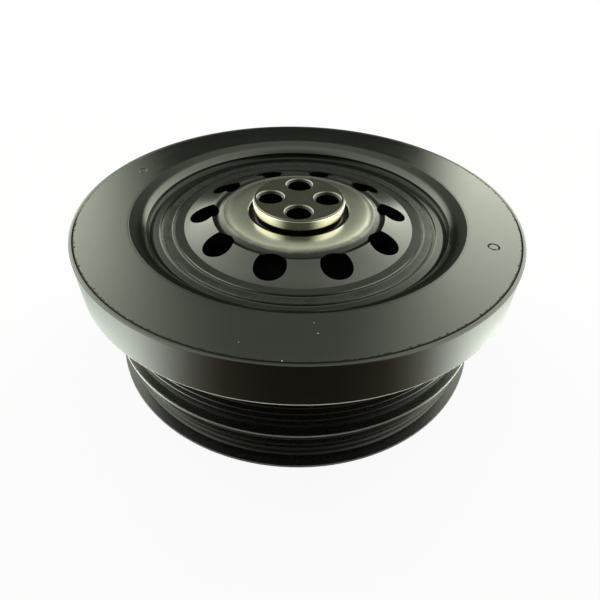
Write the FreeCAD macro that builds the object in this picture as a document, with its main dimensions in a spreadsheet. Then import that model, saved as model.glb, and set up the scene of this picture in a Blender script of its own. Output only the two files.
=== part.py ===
import FreeCAD, Part
import math
import os
import sys

import Sketcher

# Crankshaft pulley of a diesel engine. The hub carries a viscous torsional damper
# at its engine side and, over a ring of rubber, a belt pulley with two tracks.
# It stands on the lower rim of the belt pulley: the origin is the centre of that
# rim and +Z runs up the crankshaft axis to the hub's spigot.

# Driving dimensions, in millimetres and degrees: name, value, what it is.
DIMENSIONS = [
    ("spigot_radius", 20.0, "pilot spigot of the hub"),
    ("spigot_length", 5.7, "spigot above the seat face"),
    ("spigot_edge", 0.7, "chamfer on the spigot"),
    ("relief_width", 1.95, "relief groove around the spigot"),
    ("relief_depth", 2.0, "relief groove below the seat face"),
    ("relief_undercut", 0.6, "undercut of the spigot above its relief groove"),
    ("undercut_rise", 1.5, "top of the undercut above the seat face"),
    ("seat_width", 11.65, "machined seat face around the relief groove"),
    ("seat_chamfer", 0.45, "chamfer on the seat's inner edge"),
    ("seat_round", 2.5, "rounded outer edge of the seat"),
    ("seat_drop", 2.3, "seat face below the damper face"),
    ("hub_thickness", 10.7, "hub between the crankshaft and the bolt heads"),
    ("back_radius", 24.0, "outside of the face under the bolt heads"),
    ("bolt_hole_radius", 5.15, "clearance hole for a crank bolt"),
    ("bolt_hole_edge", 1.1, "chamfer of a crank bolt hole"),
    ("bolt_hole_inset", 7.7, "crank bolt holes inside the spigot's outside"),
    ("bolt_count", 4.0, "crank bolt holes"),
    ("scoop_width", 4.2, "scoop around the seat face"),
    ("scoop_drop", 0.3, "outer edge of the scoop below the seat face"),
    ("scoop_curve", 3.0, "radius of the scoop's section"),
    ("web_width", 12.25, "sloping web outside the scoop"),
    ("web_drop", 4.7, "outer edge of the web below the seat face"),
    ("web_curve", 46.0, "radius of the web's slightly hollow upper section"),
    ("web_thickness", 5.6, "web, measured along the axis"),
    ("web_corner", 4.5, "sloping corners under the web"),
    ("web_hole_radius", 6.5, "round hole in the web"),
    ("web_hole_offset", 3.5, "web hole centres outside the scoop's edge"),
    ("web_hole_angle", 3.3, "first web hole from the +X direction"),
    ("web_hole_count", 10.0, "holes in the web"),
    ("hub_rim_width", 3.9, "hub's upper rim outside the web"),
    ("locating_ring_width", 4.95, "locating ring between hub and housing"),
    ("locating_ring_height", 7.1, "locating ring on the hub's shelf"),
    ("ring_drop", 6.9, "hub rim and locating ring below the damper face"),
    ("flange_width", 6.2, "housing's fixing flange around the locating ring"),
    ("shelf_inset", 0.5, "outside of the hub's shelf inside the throat"),
    ("shoulder_width", 6.4, "shoulder of the hub under the housing"),
    ("shoulder_thickness", 2.8, "shoulder of the hub"),
    ("skirt_inset", 2.1, "outside of the skirt inside the shelf's outside"),
    ("skirt_wall", 4.5, "wall of the skirt"),
    ("skirt_height", 8.0, "lower edge of the skirt"),
    ("skirt_edge", 1.0, "chamfer on the skirt's lower edge"),
    ("chamber_width", 21.4, "fluid chamber between its inner and outer wall"),
    ("housing_height", 18.2, "damper housing from its floor to its face"),
    ("housing_gap", 2.5, "gap between the belt pulley and the damper housing"),
    ("lip_wall", 1.6, "thin lip around the cover"),
    ("lip_round", 0.7, "rounded outer edge of the lip"),
    ("housing_edge", 0.6, "chamfer on the housing's lower outer edge"),
    ("side_wall", 3.6, "outer wall of the fluid chamber"),
    ("floor_wall", 3.5, "floor of the fluid chamber"),
    ("inner_wall", 3.9, "inner wall of the fluid chamber"),
    ("throat_depth", 7.0, "foot of the throat below the damper face"),
    ("throat_straight", 0.25, "straight wall above the fillet at the foot of the throat"),
    ("seam_edge", 0.35, "small chamfer on the inner side of each ring seam"),
    ("seam_bevel", 0.8, "larger chamfer on the outer side of each ring seam"),
    ("cover_thickness", 3.0, "cover plate over the chamber"),
    ("mouth_width", 6.0, "sloping mouth inside the cover's crease"),
    ("mouth_depth", 4.3, "height of the sloping mouth"),
    ("mouth_curve", 15.0, "radius of the mouth's section"),
    ("mouth_overhang", 0.2, "cover's inner edge outside the throat"),
    ("seal_width", 1.2, "width of the cover's seal rings"),
    ("seal_height", 1.0, "height of the cover's seal rings"),
    ("seal_inset", 1.3, "inner seal ring from the cover's inner edge"),
    ("plug_radius", 2.0, "fill plug"),
    ("plug_edge", 0.4, "chamfer of plug and fill hole"),
    ("plug_angle", -21.5, "first fill plug from the +X direction"),
    ("plug_count", 2.0, "fill plugs on the cover"),
    ("fluid_gap", 0.4, "fluid film beside the inertia ring"),
    ("face_gap", 0.5, "fluid film above and below the inertia ring"),
    ("guide_gap", 0.3, "running gap of the guide rings"),
    ("guide_width", 8.0, "width of the guide rings"),
    ("guide_thickness", 1.0, "thickness of the guide rings"),
    ("bush_thickness", 1.4, "thickness of the inertia ring's guide bush"),
    ("bush_wall", 3.0, "slide bearing bush on the skirt"),
    ("bush_clearance", 0.08, "running clearance of the pulley on its bush"),
    ("thrust_thickness", 1.7, "thrust ring under the hub's shoulder"),
    ("thrust_gap", 0.3, "gap between thrust ring and collar"),
    ("thrust_play", 0.7, "thrust ring outside the slide bearing bush"),
    ("thrust_inset", 0.3, "thrust ring inside the shoulder's edge"),
    ("collar_thickness", 6.0, "the pulley's inner collar"),
    ("sleeve_wall", 1.8, "steel sleeves on both sides of the rubber"),
    ("sleeve_inset", 1.0, "lower edge of the sleeves above the skirt's"),
    ("sleeve_length", 24.0, "length of the sleeves"),
    ("rubber_width", 7.4, "rubber between the sleeves"),
    ("rubber_inset", 1.0, "rubber ends inside the sleeves"),
    ("rubber_curve", 5.5, "radius of the rubber's hollow ends"),
    ("rubber_gap", 0.3, "gap between rubber and outer sleeve"),
    ("pulley_wall", 9.6, "belt pulley from its bore to the groove crests"),
    ("pulley_edge", 0.4, "chamfer on the pulley's edges"),
    ("recess_step", 1.2, "recess in the pulley's upper end beyond its bore"),
    ("root_relief", 0.9, "plain land beside a flange below the crests"),
    ("low_flange_rise", 3.1, "lower flange beyond the crests"),
    ("flange_rise", 2.2, "middle and upper flange beyond the crests"),
    ("low_flange_rim", 1.3, "edge of the lower flange"),
    ("flange_rim", 1.2, "edge of the middle flange"),
    ("top_flange_rim", 1.54, "edge of the upper flange"),
    ("flange_slope", 0.6, "rise of a flange's face from its edge to its root"),
    ("low_land", 1.1, "plain land above the lower flange"),
    ("middle_land", 1.66, "plain land above the middle flange"),
    ("track_relief", 0.9, "slope between a plain land and the next crest"),
    ("groove_pitch", 3.56, "pitch of the belt grooves"),
    ("groove_depth", 3.0, "depth of the belt grooves"),
    ("groove_mouth", 2.96, "width of a groove at the crests"),
    ("groove_root", 0.78, "width of a groove at its root"),
    ("groove_run_out", 0.4, "groove cutter beyond the crests"),
    ("short_track_count", 4.0, "grooves of the lower track"),
    ("long_track_count", 6.0, "grooves of the upper track"),
]

MAX_FILE_NAME = 60
FULL_TURN = 360
HALF_TURN = 180
SAME_PLACE = 1e-3
FAILED_STATES = ("Invalid", "Error")


class Size:
    """A length with its number and the spreadsheet formula that drives it."""

    def __init__(self, number, formula):
        self.number = number
        self.formula = formula

    def __add__(self, other):
        other = as_size(other)
        return Size(self.number + other.number, f"({self.formula} + {other.formula})")

    def __sub__(self, other):
        other = as_size(other)
        return Size(self.number - other.number, f"({self.formula} - {other.formula})")

    def __mul__(self, other):
        other = as_size(other)
        return Size(self.number * other.number, f"({self.formula} * {other.formula})")

    def __truediv__(self, other):
        other = as_size(other)
        return Size(self.number / other.number, f"({self.formula} / {other.formula})")


def as_size(value):
    """A plain number becomes a size whose formula is that number."""
    if isinstance(value, Size):
        return value
    return Size(value, repr(value))


def along_x(radius, angle):
    """The x coordinate of a point at a radius and an angle in degrees."""
    formula = f"({radius.formula} * cos({angle.formula} * 1deg))"
    return Size(radius.number * math.cos(math.radians(angle.number)), formula)


def along_y(radius, angle):
    """The y coordinate of a point at a radius and an angle in degrees."""
    formula = f"({radius.formula} * sin({angle.formula} * 1deg))"
    return Size(radius.number * math.sin(math.radians(angle.number)), formula)


doc = FreeCAD.newDocument("crankshaft_pulley")

# The sheet of driving dimensions

sheet = doc.addObject("Spreadsheet::Sheet", "Dimensions")
named = {}
for row, (name, value, meaning) in enumerate(DIMENSIONS, start=1):
    sheet.set(f"A{row}", meaning)
    sheet.set(f"B{row}", str(value))
    sheet.setAlias(f"B{row}", name)
    named[name] = Size(value, f"Dimensions.{name}")
doc.recompute()


def size(name):
    """The driving dimension of that name."""
    return named[name]


ZERO = Size(0.0, "0")


# Helpers that make sketches, turned bodies and their cuts

def new_body(label):
    body = doc.addObject("PartDesign::Body", label)
    body.Label = label
    body.Placement = FreeCAD.Placement()
    return body


def place(body, x=None, y=None, z=None):
    """Put a body at a place that follows the sheet."""
    for axis, value in (("x", x), ("y", y), ("z", z)):
        if value is not None:
            body.setExpression(f"Placement.Base.{axis}", value.formula)


def new_sketch(body, name, plane):
    sketch = body.newObject("Sketcher::SketchObject", name)
    origin_plane = [part for part in body.Origin.OriginFeatures if part.Role == plane][0]
    sketch.AttachmentSupport = [(origin_plane, "")]
    sketch.MapMode = "FlatFace"
    return sketch


def fix_point(sketch, edge, end, across, up):
    """Hold a point of the sketch at two distances from the sketch's origin."""
    for kind, axis, value in (("DistanceX", -2, across), ("DistanceY", -1, up)):
        if value is ZERO:
            sketch.addConstraint(Sketcher.Constraint("PointOnObject", edge, end, axis))
        else:
            index = sketch.addConstraint(Sketcher.Constraint(kind, -1, 1, edge, end, value.number))
            sketch.setExpression(f"Constraints[{index}]", value.formula)


def arc_between(start, end, radius, centre_on_left):
    """The short arc from start to end, and whether it runs anticlockwise that way."""
    chord = end - start
    middle = (start + end) * 0.5
    left = FreeCAD.Vector(-chord.y, chord.x, 0)
    left.normalize()
    reach = math.sqrt(radius * radius - chord.Length * chord.Length / 4)
    centre = middle + left * (reach if centre_on_left else -reach)
    first, last = (start, end) if centre_on_left else (end, start)
    angles = [math.atan2(point.y - centre.y, point.x - centre.x) for point in (first, last)]
    if angles[1] < angles[0]:
        angles[1] += 2 * math.pi
    circle = Part.Circle(centre, FreeCAD.Vector(0, 0, 1), radius)
    return Part.ArcOfCircle(circle, angles[0], angles[1])


def draw_profile(sketch, points, arcs=None):
    """A closed outline through points.

    arcs maps the number of a point to the radius of the arc that leaves it, and to
    whether the arc's centre lies left of the way along the outline.
    """
    arcs = arcs or {}
    vectors = [FreeCAD.Vector(across.number, up.number, 0) for across, up in points]
    count = len(points)
    starts = []
    for number in range(count):
        start = vectors[number]
        end = vectors[(number + 1) % count]
        if number in arcs:
            bend, centre_on_left = arcs[number]
            edge = sketch.addGeometry(arc_between(start, end, bend.number, centre_on_left), False)
            starts.append((edge, 1, 2) if centre_on_left else (edge, 2, 1))
            index = sketch.addConstraint(Sketcher.Constraint("Radius", edge, bend.number))
            sketch.setExpression(f"Constraints[{index}]", bend.formula)
        else:
            edge = sketch.addGeometry(Part.LineSegment(start, end), False)
            starts.append((edge, 1, 2))
    for number in range(count):
        edge, _, end = starts[number]
        following, begin, _ = starts[(number + 1) % count]
        sketch.addConstraint(Sketcher.Constraint("Coincident", edge, end, following, begin))
    for number, (across, up) in enumerate(points):
        edge, begin, _ = starts[number]
        fix_point(sketch, edge, begin, across, up)


def turn(body, points, arcs=None, name="Turned"):
    """Revolve a closed section about the body's Z axis."""
    sketch = new_sketch(body, f"{body.Name}_{name}_section", "XZ_Plane")
    draw_profile(sketch, points, arcs)
    revolution = body.newObject("PartDesign::Revolution", f"{body.Name}_{name}")
    revolution.Profile = sketch
    revolution.ReferenceAxis = (sketch, ["V_Axis"])
    revolution.Angle = FULL_TURN
    doc.recompute()
    return revolution


def turned_ring(label, inner, outer, bottom, length, edge=None):
    """A plain turned ring, chamfered at its upper edges if edge is given."""
    body = new_body(label)
    place(body, z=bottom)
    if edge is None:
        points = [(inner, ZERO), (outer, ZERO), (outer, length), (inner, length)]
    else:
        points = [
            (inner, ZERO),
            (outer, ZERO),
            (outer, length - edge),
            (outer - edge, length),
            (inner + edge, length),
            (inner, length - edge),
        ]
    turn(body, points)
    return body


def drill(body, name, radius, across, up, count):
    """Drill a hole right through along Z and repeat it around the axis."""
    before = body.Shape.Volume
    sketch = new_sketch(body, f"{body.Name}_{name}_circle", "XY_Plane")
    centre = FreeCAD.Vector(across.number, up.number, 0)
    edge = sketch.addGeometry(Part.Circle(centre, FreeCAD.Vector(0, 0, 1), radius.number), False)
    index = sketch.addConstraint(Sketcher.Constraint("Radius", edge, radius.number))
    sketch.setExpression(f"Constraints[{index}]", radius.formula)
    fix_point(sketch, edge, 3, across, up)
    pocket = body.newObject("PartDesign::Pocket", f"{body.Name}_{name}")
    pocket.Profile = sketch
    pocket.Type = "ThroughAll"
    pocket.SideType = "Symmetric"
    doc.recompute()
    pattern = body.newObject("PartDesign::PolarPattern", f"{body.Name}_{name}_pattern")
    pattern.Originals = [pocket]
    pattern.Axis = (sketch, ["N_Axis"])
    pattern.Angle = FULL_TURN
    pattern.setExpression("Occurrences", count.formula)
    body.Tip = pattern
    doc.recompute()
    if not body.Shape.Volume < before:
        sys.exit(f"{name} removed nothing from {body.Label}")
    return pattern


def circles(shape, radius, height):
    """Names of the circular edges of that radius whose plane lies at that height."""
    found = []
    for number, edge in enumerate(shape.Edges, start=1):
        curve = edge.Curve
        if not isinstance(curve, Part.Circle):
            continue
        if abs(curve.Radius - radius) < SAME_PLACE and abs(curve.Center.z - height) < SAME_PLACE:
            found.append(f"Edge{number}")
    return found


def dress(body, kind, name, edges, amount):
    """Chamfer or fillet the named edges of the body's last feature."""
    base = body.Tip
    feature = body.newObject(f"PartDesign::{kind}", f"{body.Name}_{name}")
    feature.Base = (base, edges)
    feature.setExpression("Radius" if kind == "Fillet" else "Size", amount.formula)
    body.Tip = feature
    doc.recompute()


# Radii that several pieces share, from the axis outwards

relief_radius = size("spigot_radius") + size("relief_width")
seat_radius = relief_radius + size("seat_width")
scoop_radius = seat_radius + size("scoop_width")
web_radius = scoop_radius + size("web_width")
hub_rim_radius = web_radius + size("hub_rim_width")
flange_bore = hub_rim_radius + size("locating_ring_width")
throat_radius = flange_bore + size("flange_width")
shelf_radius = throat_radius - size("shelf_inset")
shoulder_radius = shelf_radius + size("shoulder_width")
skirt_radius = shelf_radius - size("skirt_inset")
skirt_inner = skirt_radius - size("skirt_wall")
bush_outer = skirt_radius + size("bush_wall")
rubber_inner = skirt_radius + size("sleeve_wall")
rubber_outer = rubber_inner + size("rubber_width")
outer_sleeve_bore = rubber_outer + size("rubber_gap")
pulley_bore = outer_sleeve_bore + size("sleeve_wall")
crest_radius = pulley_bore + size("pulley_wall")
mouth_edge = throat_radius + size("mouth_overhang")
mouth_radius = mouth_edge + size("mouth_width")
chamber_inner = throat_radius + size("inner_wall")
chamber_outer = chamber_inner + size("chamber_width")
rim_radius = chamber_outer + size("side_wall")
cover_radius = rim_radius - size("lip_wall")
plug_circle_radius = (mouth_radius + cover_radius) / 2
guide_inner = (chamber_inner + chamber_outer - size("guide_width")) / 2

# Heights that several pieces share, from the lower rim upwards

short_track_low = size("low_flange_rim") + size("flange_slope") + size("low_land") + size("track_relief")
short_track_top = short_track_low + size("groove_pitch") * size("short_track_count")
middle_flange_low = short_track_top + size("flange_slope") / 2
middle_flange_top = middle_flange_low + size("flange_rim")
long_track_low = (middle_flange_top + size("flange_slope") + size("middle_land")
                  + size("track_relief"))
long_track_top = long_track_low + size("groove_pitch") * size("long_track_count")
pulley_top = long_track_top + size("flange_slope") + size("top_flange_rim")
housing_floor = pulley_top + size("housing_gap")
face = housing_floor + size("housing_height")
chamber_floor = housing_floor + size("floor_wall")
chamber_roof = face - size("cover_thickness")
mouth_foot = face - size("mouth_depth")
inner_wall_top = mouth_foot - size("seam_edge")
ring_top = face - size("ring_drop")
shelf_height = ring_top - size("locating_ring_height")
seat = face - size("seat_drop")
spigot_top = seat + size("spigot_length")
back_height = seat - size("hub_thickness")
shoulder_low = housing_floor - size("shoulder_thickness")
thrust_low = shoulder_low - size("thrust_thickness")
collar_top = thrust_low - size("thrust_gap")
collar_low = collar_top - size("collar_thickness")
sleeve_low = size("skirt_height") + size("sleeve_inset")
seam_edge = size("seam_edge")


# Hub: one forging, turned, drilled and chamfered

def make_hub():
    body = new_body("hub")
    web_slope = (size("web_drop") - size("scoop_drop")) / (web_radius - scoop_radius)
    scoop_low = seat - size("scoop_drop")
    web_low = seat - size("web_drop")
    under_web = web_low - size("web_thickness")
    under_inner = size("back_radius") + size("web_thickness")
    under_rise = under_web + (web_radius - scoop_radius) * web_slope
    undercut_radius = size("spigot_radius") - size("relief_undercut")
    undercut_top = seat + size("undercut_rise")
    corner = size("web_corner")
    web_hole_circle = scoop_radius + size("web_hole_offset")
    bolt_circle = size("spigot_radius") - size("bolt_hole_inset")
    points = [
        (ZERO, spigot_top),
        (size("spigot_radius") - size("spigot_edge"), spigot_top),
        (size("spigot_radius"), spigot_top - size("spigot_edge")),
        (size("spigot_radius"), undercut_top),
        (undercut_radius, undercut_top - size("relief_undercut")),
        (undercut_radius, seat - size("relief_depth")),
        (relief_radius, seat - size("relief_depth")),
        (relief_radius, seat - size("seat_chamfer")),
        (relief_radius + size("seat_chamfer"), seat),
        (seat_radius, seat),
        (scoop_radius, scoop_low),
        (web_radius, web_low),
        (hub_rim_radius - seam_edge, ring_top),
        (hub_rim_radius, ring_top - seam_edge),
        (hub_rim_radius, shelf_height),
        (shelf_radius, shelf_height),
        (shelf_radius, housing_floor),
        (shoulder_radius, housing_floor),
        (shoulder_radius, shoulder_low),
        (skirt_radius, shoulder_low),
        (skirt_radius, size("skirt_height") + size("skirt_edge")),
        (skirt_radius - size("skirt_edge"), size("skirt_height")),
        (skirt_inner + size("skirt_edge"), size("skirt_height")),
        (skirt_inner, size("skirt_height") + size("skirt_edge")),
        (skirt_inner, shoulder_low - corner),
        (hub_rim_radius - corner / 2, shoulder_low),
        (web_radius - corner / 2, under_web),
        (scoop_radius, under_rise),
        (under_inner, under_rise),
        (size("back_radius"), back_height),
        (ZERO, back_height),
    ]
    turn(body, points, arcs={9: (size("scoop_curve"), True), 10: (size("web_curve"), True)})
    seat_edges = circles(body.Shape, seat_radius.number, seat.number)
    dress(body, "Fillet", "seat_rounding", seat_edges, size("seat_round"))
    drill(body, "web_holes", size("web_hole_radius"),
          along_x(web_hole_circle, size("web_hole_angle")),
          along_y(web_hole_circle, size("web_hole_angle")),
          size("web_hole_count"))
    drill(body, "bolt_holes", size("bolt_hole_radius"), bolt_circle, ZERO, size("bolt_count"))
    mouths = circles(body.Shape, size("bolt_hole_radius").number, spigot_top.number)
    dress(body, "Chamfer", "bolt_hole_chamfers", mouths, size("bolt_hole_edge"))
    return body


# Damper housing: annular channel with an outer lip and a fixing flange inside

def make_housing():
    body = new_body("damper_housing")
    foot = face - size("throat_depth")
    bevel = size("seam_bevel")
    points = [
        (rim_radius - size("housing_edge"), housing_floor),
        (rim_radius, housing_floor + size("housing_edge")),
        (rim_radius, face),
        (cover_radius + seam_edge, face),
        (cover_radius, face - seam_edge),
        (cover_radius, chamber_roof),
        (chamber_outer, chamber_roof),
        (chamber_outer, chamber_floor),
        (chamber_inner, chamber_floor),
        (chamber_inner, inner_wall_top),
        (throat_radius, inner_wall_top),
        (throat_radius, foot),
        (flange_bore + bevel, ring_top),
        (flange_bore, ring_top - bevel),
        (flange_bore, shelf_height),
        (shelf_radius, shelf_height),
        (shelf_radius, housing_floor),
    ]
    turn(body, points)
    rim_edges = circles(body.Shape, rim_radius.number, face.number)
    dress(body, "Fillet", "lip_rounding", rim_edges, size("lip_round"))
    foot_edges = circles(body.Shape, throat_radius.number, foot.number)
    dress(body, "Fillet", "throat_foot", foot_edges, inner_wall_top - foot - size("throat_straight"))
    return body


# Locating ring: pressed between the hub's rim and the housing's flange

def make_locating_ring():
    body = new_body("locating_ring")
    place(body, z=shelf_height)
    bevel = size("seam_bevel")
    length = size("locating_ring_height")
    points = [
        (hub_rim_radius, ZERO),
        (flange_bore, ZERO),
        (flange_bore, length - seam_edge),
        (flange_bore - seam_edge, length),
        (hub_rim_radius + bevel, length),
        (hub_rim_radius, length - bevel),
    ]
    turn(body, points)
    return body


# Cover: flat annular plate let in behind the lip, with a flared mouth

def make_cover():
    body = new_body("damper_cover")
    seal_top = chamber_roof + size("seal_height")
    seal_inner = mouth_edge + size("seal_inset")
    seal_outer = seal_inner + size("seal_width")
    groove_top = inner_wall_top + size("seal_height")
    points = [
        (mouth_radius, face),
        (mouth_edge, mouth_foot),
        (mouth_edge, inner_wall_top),
        (seal_inner, inner_wall_top),
        (seal_inner, groove_top),
        (seal_outer, groove_top),
        (seal_outer, inner_wall_top),
        (chamber_inner, inner_wall_top),
        (chamber_inner, chamber_roof),
        (cover_radius - size("seal_width"), chamber_roof),
        (cover_radius - size("seal_width"), seal_top),
        (cover_radius, seal_top),
        (cover_radius, face - seam_edge),
        (cover_radius - seam_edge, face),
    ]
    turn(body, points, arcs={0: (size("mouth_curve"), True)})
    drill(body, "fill_holes", size("plug_radius"), plug_circle_radius, ZERO,
          size("plug_count"))
    mouths = circles(body.Shape, size("plug_radius").number, face.number)
    dress(body, "Chamfer", "fill_hole_chamfers", mouths, size("plug_edge"))
    body.setExpression("Placement.Rotation.Angle", size("plug_angle").formula)
    return body


def make_seals():
    outer = turned_ring("cover_seal_outer", cover_radius - size("seal_width"), cover_radius,
                        chamber_roof, size("seal_height"))
    inner_radius = mouth_edge + size("seal_inset")
    inner = turned_ring("cover_seal_inner", inner_radius, inner_radius + size("seal_width"),
                        inner_wall_top, size("seal_height"))
    return [outer, inner]


def make_plug(label, angle):
    """A short round plug pressed into a fill hole, flush with the cover."""
    body = new_body(label)
    place(body, x=along_x(plug_circle_radius, angle),
          y=along_y(plug_circle_radius, angle), z=chamber_roof)
    radius = size("plug_radius")
    top = size("cover_thickness")
    points = [
        (ZERO, ZERO),
        (radius, ZERO),
        (radius, top - size("plug_edge")),
        (radius - size("plug_edge"), top),
        (ZERO, top),
    ]
    turn(body, points)
    return body


# Inertia ring and the guide rings that it carries in the fluid chamber

def make_inertia_ring():
    body = new_body("inertia_ring")
    low = chamber_floor + size("face_gap")
    place(body, z=low)
    height = chamber_roof - size("face_gap") - low
    bore = chamber_inner + size("guide_gap") + size("bush_thickness")
    outer = chamber_outer - size("fluid_gap")
    pocket_out = guide_inner + size("guide_width")
    pocket = size("guide_thickness") - size("face_gap") + size("guide_gap")
    points = [
        (bore, ZERO),
        (guide_inner, ZERO),
        (guide_inner, pocket),
        (pocket_out, pocket),
        (pocket_out, ZERO),
        (outer, ZERO),
        (outer, height),
        (pocket_out, height),
        (pocket_out, height - pocket),
        (guide_inner, height - pocket),
        (guide_inner, height),
        (bore, height),
    ]
    turn(body, points)
    return body


def make_guides():
    outer = guide_inner + size("guide_width")
    lower = turned_ring("lower_guide_ring", guide_inner, outer, chamber_floor + size("guide_gap"),
                        size("guide_thickness"))
    upper_low = chamber_roof - size("guide_gap") - size("guide_thickness")
    upper = turned_ring("upper_guide_ring", guide_inner, outer, upper_low, size("guide_thickness"))
    bush_in = chamber_inner + size("guide_gap")
    low = chamber_floor + size("face_gap")
    bush = turned_ring("inner_guide_bush", bush_in, bush_in + size("bush_thickness"), low,
                       chamber_roof - size("face_gap") - low)
    return [lower, upper, bush]


# Belt pulley: one turning with three flanges and two sets of belt grooves

def cut_track(body, name, lowest_crest, count):
    """Cut a row of V grooves, the first one above the lowest crest."""
    before = body.Shape.Volume
    middle = lowest_crest + size("groove_pitch") / 2
    outer = crest_radius + size("groove_run_out")
    root = crest_radius - size("groove_depth")
    flank = (size("groove_mouth") - size("groove_root")) / size("groove_depth")
    half_mouth = (size("groove_mouth") + flank * size("groove_run_out")) / 2
    half_root = size("groove_root") / 2
    sketch = new_sketch(body, f"{body.Name}_{name}_section", "XZ_Plane")
    draw_profile(sketch, [
        (outer, middle - half_mouth),
        (outer, middle + half_mouth),
        (root, middle + half_root),
        (root, middle - half_root),
    ])
    groove = body.newObject("PartDesign::Groove", f"{body.Name}_{name}")
    groove.Profile = sketch
    groove.ReferenceAxis = (sketch, ["V_Axis"])
    groove.Angle = FULL_TURN
    doc.recompute()
    row = body.newObject("PartDesign::LinearPattern", f"{body.Name}_{name}_row")
    row.Originals = [groove]
    row.Direction = (sketch, ["V_Axis"])
    row.setExpression("Length", (size("groove_pitch") * (count - 1)).formula)
    row.setExpression("Occurrences", count.formula)
    body.Tip = row
    doc.recompute()
    if not body.Shape.Volume < before:
        sys.exit(f"{name} removed nothing from {body.Label}")


def make_pulley():
    body = new_body("belt_pulley")
    crest = crest_radius
    root = crest - size("root_relief")
    flange = crest + size("flange_rise")
    low_flange = crest + size("low_flange_rise")
    edge = size("pulley_edge")
    slope = size("flange_slope")
    relief = size("track_relief")
    recess = pulley_bore + size("recess_step")
    collar_bore = bush_outer + size("bush_clearance")
    points = [
        (pulley_bore + edge, ZERO),
        (low_flange - edge, ZERO),
        (low_flange, edge),
        (low_flange, size("low_flange_rim")),
        (root, size("low_flange_rim") + slope),
        (root, short_track_low - relief),
        (crest, short_track_low),
        (crest, short_track_top),
        (flange, middle_flange_low),
        (flange, middle_flange_top),
        (root, middle_flange_top + slope),
        (root, long_track_low - relief),
        (crest, long_track_low),
        (crest, long_track_top),
        (flange, long_track_top + slope),
        (flange, pulley_top - edge),
        (flange - edge, pulley_top),
        (recess, pulley_top),
        (recess, collar_top),
        (collar_bore + edge, collar_top),
        (collar_bore, collar_top - edge),
        (collar_bore, collar_low),
        (pulley_bore, collar_low),
        (pulley_bore, edge),
    ]
    turn(body, points)
    cut_track(body, "short_track", short_track_low, size("short_track_count"))
    cut_track(body, "long_track", long_track_low, size("long_track_count"))
    return body


# Rubber decoupling element and the bearings between hub and pulley

def make_decoupler():
    inner_sleeve = turned_ring("inner_sleeve", skirt_radius, rubber_inner,
                               sleeve_low, size("sleeve_length"), seam_edge)
    outer_sleeve = turned_ring("outer_sleeve", outer_sleeve_bore, pulley_bore,
                               sleeve_low, size("sleeve_length"), seam_edge)
    rubber = new_body("decoupling_rubber")
    place(rubber, z=sleeve_low + size("rubber_inset"))
    length = size("sleeve_length") - size("rubber_inset") * 2
    bend = size("rubber_curve")
    turn(rubber, [(rubber_inner, ZERO), (rubber_outer, ZERO), (rubber_outer, length),
                  (rubber_inner, length)],
         arcs={0: (bend, False), 2: (bend, False)})
    return [inner_sleeve, rubber, outer_sleeve]


def make_bearings():
    bush = turned_ring("slide_bearing_bush", skirt_radius, bush_outer,
                       collar_low, shoulder_low - collar_low)
    thrust = turned_ring("thrust_ring", bush_outer + size("thrust_play"),
                         shoulder_radius - size("thrust_inset"), thrust_low,
                         size("thrust_thickness"))
    return [bush, thrust]


parts = [
    make_hub(),
    make_housing(),
    make_cover(),
    make_plug("fill_plug_right", size("plug_angle")),
    make_plug("fill_plug_left", size("plug_angle") + HALF_TURN),
    make_locating_ring(),
    make_inertia_ring(),
    make_pulley(),
]
parts += make_seals()
parts += make_guides()
parts += make_decoupler()
parts += make_bearings()

doc.recompute()

# Checks before anything is written

for item in doc.Objects:
    failed = [state for state in FAILED_STATES if state in item.State]
    if failed:
        sys.exit(f"{item.Label} is in state {failed}")
for body in parts:
    if body.Shape.isNull() or not body.Shape.isValid() or len(body.Shape.Solids) != 1:
        sys.exit(f"{body.Label} has no single valid solid")
    if len(body.Label) >= MAX_FILE_NAME:
        sys.exit(f"{body.Label} is too long a name")

os.makedirs("parts", exist_ok=True)
for body in parts:
    body.Shape.exportStep(f"parts/{body.Label}.step")
    print(f"{body.Label}: {body.Shape.Volume / 1000:.2f} cm3, "
          f"z {body.Shape.BoundBox.ZMin:.2f} to {body.Shape.BoundBox.ZMax:.2f} mm")
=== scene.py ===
import math
import random

import bmesh
import bpy
from mathutils import Matrix, Vector


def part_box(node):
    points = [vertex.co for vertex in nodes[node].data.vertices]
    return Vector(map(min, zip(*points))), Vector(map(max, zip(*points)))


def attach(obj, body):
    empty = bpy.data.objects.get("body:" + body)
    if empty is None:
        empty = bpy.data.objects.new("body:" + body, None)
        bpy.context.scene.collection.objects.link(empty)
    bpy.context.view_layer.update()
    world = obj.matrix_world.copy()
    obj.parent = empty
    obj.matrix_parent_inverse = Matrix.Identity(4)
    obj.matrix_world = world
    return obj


# Crankshaft pulley with a viscous damper, black coated, with a bare turned seat
# and pilot spigot. All lengths are in metres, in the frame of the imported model.

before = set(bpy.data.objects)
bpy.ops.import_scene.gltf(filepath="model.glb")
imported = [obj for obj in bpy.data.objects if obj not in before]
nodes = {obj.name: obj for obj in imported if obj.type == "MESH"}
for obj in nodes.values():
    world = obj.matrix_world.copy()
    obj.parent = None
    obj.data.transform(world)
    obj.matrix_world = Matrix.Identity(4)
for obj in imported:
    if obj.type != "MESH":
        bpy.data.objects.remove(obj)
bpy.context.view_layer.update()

MM = 0.001
FULL_TURN = 2 * math.pi


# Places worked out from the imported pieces

face_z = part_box("damper_housing")[1].z
housing_floor_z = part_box("damper_housing")[0].z
rim_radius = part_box("damper_housing")[1].x
cover_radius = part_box("damper_cover")[1].x
spigot_top_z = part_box("hub")[1].z
plug_low, plug_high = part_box("fill_plug_right")
plug_radius = (plug_high.x - plug_low.x) / 2
right_plug_centre = (plug_low + plug_high) / 2
left_plug_centre = Vector((-right_plug_centre.x, -right_plug_centre.y, right_plug_centre.z))
pulley_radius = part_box("belt_pulley")[1].x

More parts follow.
